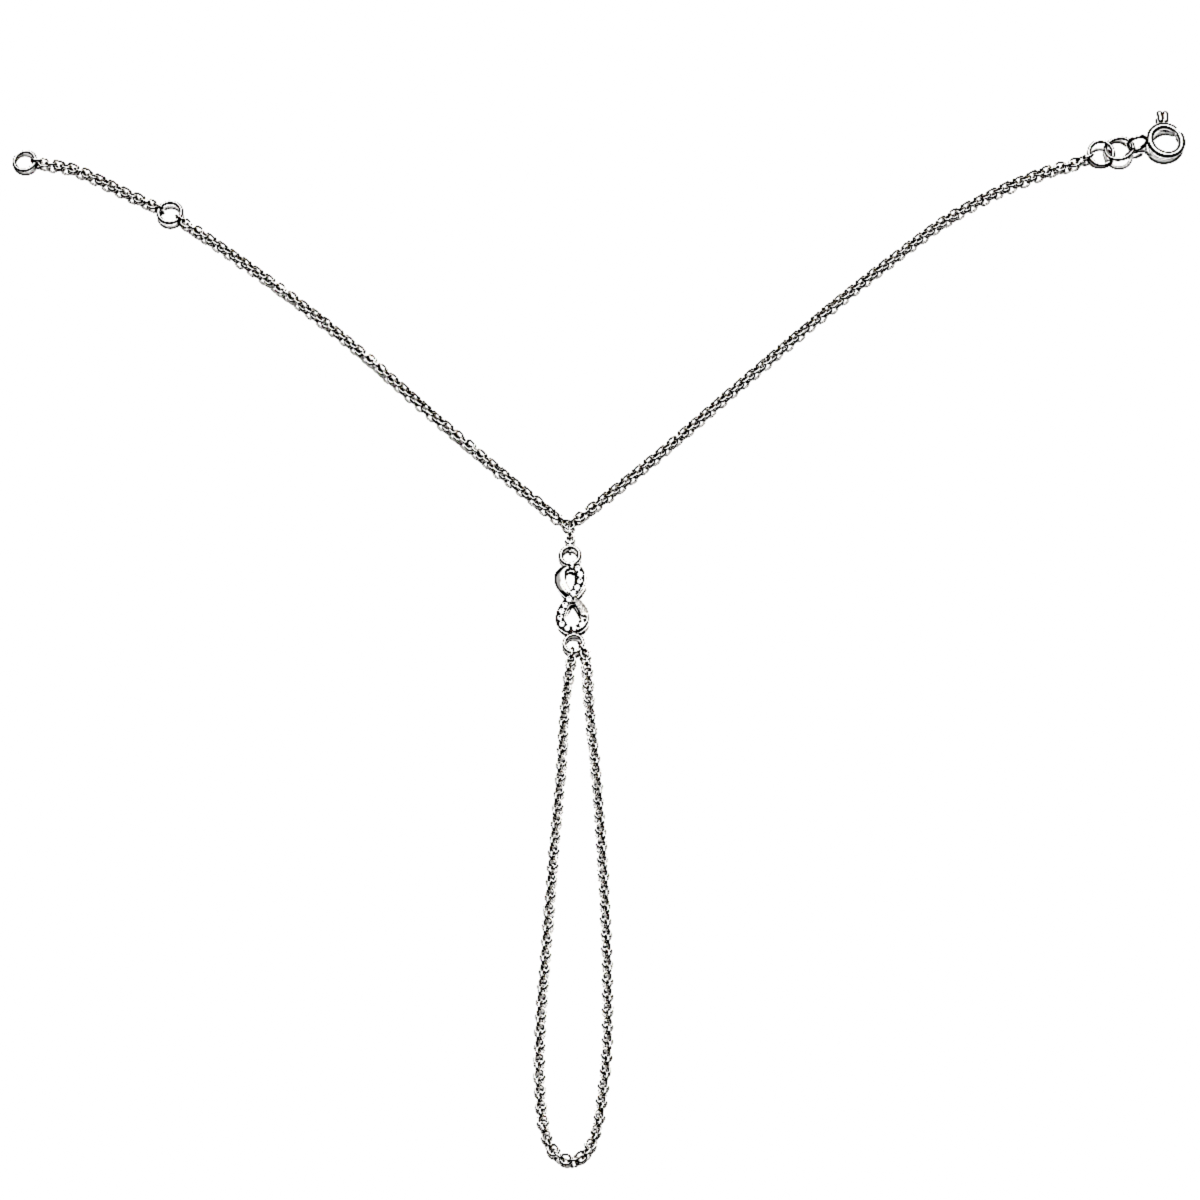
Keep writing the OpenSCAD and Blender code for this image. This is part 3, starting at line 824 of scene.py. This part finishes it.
def bead(mesh, c, r, squash=0.8, mat=0, nu=12, nv=8):
    rows = []
    for i in range(1, nv):
        th = math.pi * i / nv
        rows.append(to_charm([[c[0] + r * math.sin(th) * math.cos(2 * math.pi * j / nu),
                               c[1] + r * math.sin(th) * math.sin(2 * math.pi * j / nu),
                               c[2] + r * squash * math.cos(th)] for j in range(nu)]))
    mesh.grid(rows, mat=mat)
    mesh.fan(rows[0], to_charm([[c[0], c[1], c[2] + r * squash]])[0], mat=mat, flip=True)
    mesh.fan(rows[-1], to_charm([[c[0], c[1], c[2] - r * squash]])[0], mat=mat)


def post(mesh, c, z0, z1, r, mat=0, nu=12):
    rows = []
    for z_, k in ((z0, 1.15), (z0 + 0.1, 1.05), (z1 - 0.05, 1.0), (z1, 0.98)):
        rows.append(to_charm([[c[0] + r * k * math.cos(2 * math.pi * j / nu), c[1] + r * k * math.sin(2 * math.pi * j / nu), z_]
                              for j in range(nu)]))
    mesh.grid(rows, mat=mat)


# prongs: a pair in each gap between stones, and one pair past each end
for k in range(count + 1):
    s = first + (k - 0.5) * step
    p, along, across = at_s(set_line, SL, min(max(s, 0.02), SL[-1] - 0.02))
    reach = min(SEAT, p[2] - 0.10) - 0.03
    for sgn in (-1, 1):
        c = [p[0] + sgn * across[0] * reach, p[1] + sgn * across[1] * reach, 1.01]
        post(charm, c, 0.55, 0.98, 0.080)
        bead(charm, c, 0.095, 0.95)

# the cups: a thin bright collar round each stone's seat
for s in stone_s:
    p, along, across = at_s(set_line, SL, s)
    rs = min(STONE_D / 2, p[2] * 0.93 - 0.02)
    rows = []
    for rr, zz in ((rs - 0.10, 0.70), (rs - 0.045, 0.93), (rs - 0.01, 0.965), (rs + 0.012, 0.94), (rs + 0.018, 0.84), (rs + 0.02, 0.6)):
        rows.append(to_charm([[p[0] + rr * math.cos(2 * math.pi * j / 28), p[1] + rr * math.sin(2 * math.pi * j / 28), zz] for j in range(28)]))
    charm.grid(rows)

# fine grain on the polished strand's lower right half, just below the crossing
g0, g1 = None, None
for i, s in enumerate(PL):
    if plain[i][1] < -0.55 and g0 is None and s > PL[-1] * 0.4:
        g0 = s
    if plain[i][1] < -2.45 and g1 is None and s > PL[-1] * 0.4:
        g1 = s
rng = np.random.default_rng(5)
row_step = 0.17
k = 0
s = g0
while s < g1:
    p, along, across = at_s(plain, PL, s)
    w = p[2] - 0.10
    nn = 5 + (k % 2)
    for j in range(nn):
        u = (j - (nn - 1) / 2) / 2.5
        a_ = u * w * 0.92
        x_, y_ = p[0] + across[0] * a_, p[1] + across[1] * a_
        dip = math.exp(-((x_ * x_ + y_ * y_) / 0.55))
        h = 0.985 - 0.32 * dip
        zz = h - (0.10 if a_ < -0.66 * p[2] else 0.0)
        fade = min(1.0, (g1 - s) / 0.5 + 0.35)
        bead(charm, [x_ + rng.normal(0, 0.008), y_ + rng.normal(0, 0.008), zz - 0.004 - 0.03 * (1 - fade)], 0.084 * (0.8 + 0.2 * fade), 0.80, mat=2, nu=8, nv=6)
    s += row_step
    k += 1

charm_o = make_object("infinity_ornament", charm, [charm_mat, solder_mat, grain_mat, seat_painted_shade_mat, ground_mat], CHAIN_BODY, angle=38)
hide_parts("infinity_charm")


# round brilliant stones, each facet flat
def brilliant(mesh, c, d, spin, mat=0, tilt=(0, 0)):
    R = d / 2
    tz, gz, pz = 0.145 * d, 0.02 * d, -0.43 * d
    tab, mid_r = 0.57 * R, 0.80 * R
    T = rot(tilt[0], tilt[1], spin)

    def ringpts(r, z_, k_, off):
        return [T @ V(r * math.cos(2 * math.pi * (j + off) / k_), r * math.sin(2 * math.pi * (j + off) / k_), z_) + c
                for j in range(k_)]

    table = ringpts(tab, tz, 8, 0.5)
    mid = ringpts(mid_r, tz * 0.60, 8, 0)
    gt = ringpts(R, gz, 16, 0)
    gb = ringpts(R, -gz, 16, 0)
    pv = ringpts(0.42 * R, pz * 0.62, 8, 0.5)
    cul = [T @ V(0, 0, pz) + c]
    P = np.array(table + mid + gt + gb + pv + cul)
    it, im, ig, ib, ip, ic = 0, 8, 16, 32, 48, 56
    F = [[it + j for j in range(8)]]
    for j in range(8):
        # star facet between two table corners and a mid corner
        a0, a1 = it + (j - 1) % 8, it + j
        F.append([a0, im + j, a1])
        # kite from the table corner to the girdle
        F.append([it + j, im + j, ig + (2 * j + 1) % 16, im + (j + 1) % 8])
        F.append([im + j, ig + (2 * j) % 16, ig + (2 * j + 1) % 16])
        F.append([im + j, ig + (2 * j - 1) % 16, ig + (2 * j) % 16])
    for j in range(16):
        q = (j + 1) % 16
        F.append([ig + j, ib + j, ib + q, ig + q])
    for j in range(8):
        F.append([ib + 2 * j, ip + (j - 1) % 8, ip + j])
        F.append([ib + 2 * j, ip + j, ib + (2 * j + 1) % 16])
        F.append([ib + (2 * j + 1) % 16, ip + j, ib + (2 * j + 2) % 16])
        F.append([ip + j, ip + (j - 1) % 8, ic])
    mesh.add(to_charm(P), F, mat)


stones = Mesh()
for k, s in enumerate(stone_s):
    p, along, across = at_s(set_line, SL, s)
    d_s = 2 * min(STONE_D / 2, p[2] * 0.93 - 0.02) - 0.03
    brilliant(stones, V(p[0], p[1], 0.975), d_s, spin=17 * k, tilt=(rng.normal(0, 2.5), rng.normal(0, 2.5)))
stones_o = make_object("ornament_stones", stones, [stone_mat], CHAIN_BODY, smooth=False, weld=False)

# ---------------------------------------------------------------------------
# floor, light, camera
# ---------------------------------------------------------------------------
scene = bpy.context.scene


def floor():
    """A large pale table top with a glassy shine: seen from above it mirrors the light overhead and the metal lying on it."""
    me = bpy.data.meshes.new("table_top")
    r = 2.5
    me.from_pydata([(-r, -r, 0), (r, -r, 0), (r, r, 0), (-r, r, 0)], [], [(0, 1, 2, 3)])
    o = bpy.data.objects.new("table_top", me)
    scene.collection.objects.link(o)
    mat = bpy.data.materials.new("table_white")
    nt, N, K, bsdf = nodes_of(mat)
    out = N["Material Output"]
    N.remove(bsdf)
    white = N.new("ShaderNodeBsdfDiffuse")
    white.inputs["Color"].default_value = (0.92, 0.92, 0.92, 1)
    grey = N.new("ShaderNodeBsdfDiffuse")
    grey.inputs["Color"].default_value = (FLOOR_GREY, FLOOR_GREY, FLOOR_GREY, 1)
    shine = N.new("ShaderNodeBsdfGlossy")
    shine.inputs["Color"].default_value = (0.97, 0.965, 0.965, 1)
    shine.inputs["Roughness"].default_value = 0.03
    glass = N.new("ShaderNodeMixShader")
    glass.inputs["Fac"].default_value = FLOOR_SHINE
    K.new(grey.outputs["BSDF"], glass.inputs[1])
    K.new(shine.outputs["BSDF"], glass.inputs[2])
    # from low down the table shows its own white
    facing = N.new("ShaderNodeLayerWeight")
    facing.inputs["Blend"].default_value = 0.5
    low = N.new("ShaderNodeMapRange")
    low.inputs["From Min"].default_value = 0.16
    low.inputs["From Max"].default_value = 0.34
    K.new(facing.outputs["Facing"], low.inputs["Value"])
    path = N.new("ShaderNodeLightPath")
    seen = N.new("ShaderNodeMath")
    seen.operation = "MULTIPLY"
    K.new(low.outputs["Result"], seen.inputs[0])
    K.new(path.outputs["Is Camera Ray"], seen.inputs[1])
    both = N.new("ShaderNodeMixShader")
    K.new(seen.outputs["Value"], both.inputs["Fac"])
    K.new(glass.outputs["Shader"], both.inputs[1])
    K.new(white.outputs["BSDF"], both.inputs[2])
    K.new(both.outputs["Shader"], out.inputs["Surface"])
    me.materials.append(mat)
    return o


FLOOR_GREY, FLOOR_SHINE = 0.92, 0.68
LIGHT = 1.3
FILL = 0.62
TENT_LOW, TENT_HIGH = 0.03, 0.72
WALL_FROM, WALL_TO = 0.12, 0.56
FRONT_FROM, FRONT_TO = 0.00, 0.22
HOOD_FROM, HOOD_TO = 0.85, 0.74
DEEPEST = 0.02
floor()

world = bpy.data.worlds.new("studio")
scene.world = world
world.use_nodes = True
wn, wl = world.node_tree.nodes, world.node_tree.links
bg = wn["Background"]
bg.inputs["Color"].default_value = (1, 1, 1, 1)
bg.inputs["Strength"].default_value = 1.0


def wmath(op, a, b=None, clamp=False):
    n_ = wn.new("ShaderNodeMath")
    n_.operation = op
    n_.use_clamp = clamp
    for i_, v_ in enumerate((a, b)):
        if v_ is None:
            continue
        if isinstance(v_, (int, float)):
            n_.inputs[i_].default_value = v_
        else:
            wl.new(v_, n_.inputs[i_])
    return n_.outputs["Value"]


def wstep(value, lo, hi, to_lo=0.0, to_hi=1.0):
    n_ = wn.new("ShaderNodeMapRange")
    n_.interpolation_type = "SMOOTHSTEP"
    n_.inputs["From Min"].default_value = lo
    n_.inputs["From Max"].default_value = hi
    n_.inputs["To Min"].default_value = to_lo
    n_.inputs["To Max"].default_value = to_hi
    wl.new(value, n_.inputs["Value"])
    return n_.outputs["Result"]


# a light tent: pale walls on three sides, and an open, dark front
coord = wn.new("ShaderNodeTexCoord")
split = wn.new("ShaderNodeSeparateXYZ")
wl.new(coord.outputs["Generated"], split.inputs["Vector"])
walls = wstep(split.outputs["Z"], WALL_FROM, WALL_TO, TENT_LOW, TENT_HIGH)
front = wmath("MULTIPLY", wstep(split.outputs["Y"], -FRONT_FROM, -FRONT_TO), wstep(split.outputs["Z"], HOOD_FROM, HOOD_TO))
tent = wmath("MULTIPLY", walls, wmath("SUBTRACT", 1.0, front))
tent = wmath("ADD", tent, DEEPEST)
wl.new(tent, bg.inputs["Strength"])
pale = wn.new("ShaderNodeBackground")
pale.inputs["Color"].default_value = (0.97, 0.97, 0.97, 1)
pale.inputs["Strength"].default_value = 1.0
wpath = wn.new("ShaderNodeLightPath")
wmix = wn.new("ShaderNodeMixShader")
wl.new(wpath.outputs["Is Camera Ray"], wmix.inputs["Fac"])
wl.new(bg.outputs["Background"], wmix.inputs[1])
wl.new(pale.outputs["Background"], wmix.inputs[2])
wl.new(wmix.outputs["Shader"], wn["World Output"].inputs["Surface"])


def softbox(name, loc, diameter, radiance, target, mirrored=True):
    light = bpy.data.lights.new(name, "AREA")
    light.shape = "DISK"
    light.size = diameter
    light.energy = radiance * math.pi * math.pi * diameter**2 / 4
    o = bpy.data.objects.new(name, light)
    scene.collection.objects.link(o)
    o.location = loc
    o.visible_glossy = mirrored
    from mathutils import Vector
    o.rotation_mode = "QUATERNION"
    o.rotation_quaternion = (Vector(target) - Vector(loc)).to_track_quat("-Z", "Y")
    return o


softbox("softbox_top", (0, 0.50, 1.0), 2.06, LIGHT, (0, 0.50, 0))
softbox("fill_for_the_table", (0, 0, 1.2), 2.6, FILL, (0, 0, 0), mirrored=False)

cam_data = bpy.data.cameras.new("camera")
cam_data.lens = 147.6
cam_data.sensor_width = 36
cam_data.clip_start, cam_data.clip_end = 0.05, 20
cam = bpy.data.objects.new("camera", cam_data)
scene.collection.objects.link(cam)
cam.location = (0.1 * MM, (2.1 - 244.04) * MM, 548.13 * MM)
cam.rotation_euler = (math.radians(24), 0, 0)
scene.camera = cam

scene.view_settings.view_transform = "Standard"

# the picture is sharpened, as a catalogue photograph is
WIDE, FINE = 5.0, 1.65
SHARP = (1.0, 1.0, 0.12)
scene.use_nodes = True
cn, cl = scene.node_tree.nodes, scene.node_tree.links
for extra in list(cn):
    cn.remove(extra)


def cmix(kind, a, b, fac, clamp=False):
    n_ = cn.new("CompositorNodeMixRGB")
    n_.blend_type = kind
    n_.use_clamp = clamp
    n_.inputs["Fac"].default_value = fac
    cl.new(a, n_.inputs[1])
    cl.new(b, n_.inputs[2])
    return n_.outputs["Image"]


def cblur(a, size):
    n_ = cn.new("CompositorNodeBlur")
    n_.filter_type = "GAUSS"
    n_.inputs["Size"].default_value = (size, size)
    cl.new(a, n_.inputs["Image"])
    return n_.outputs["Image"]


def cgamma(a, power):
    n_ = cn.new("CompositorNodeGamma")
    n_.inputs["Gamma"].default_value = power
    cl.new(a, n_.inputs["Image"])
    return n_.outputs["Image"]


taken = cn.new("CompositorNodeRLayers")
taken.scene = scene
held = cmix("MIX", taken.outputs["Image"], taken.outputs["Image"], 0.0, True)
edge = cmix("SUBTRACT", held, cblur(held, WIDE), 1.0)
crisp = held
for share in SHARP:
    crisp = cmix("ADD", crisp, edge, share)
crisp = cmix("MIX", crisp, crisp, 0.0, True)
eased = cgamma(cblur(cgamma(crisp, 1 / 2.2), FINE), 2.2)
shown = cn.new("CompositorNodeComposite")
cl.new(eased, shown.inputs["Image"])
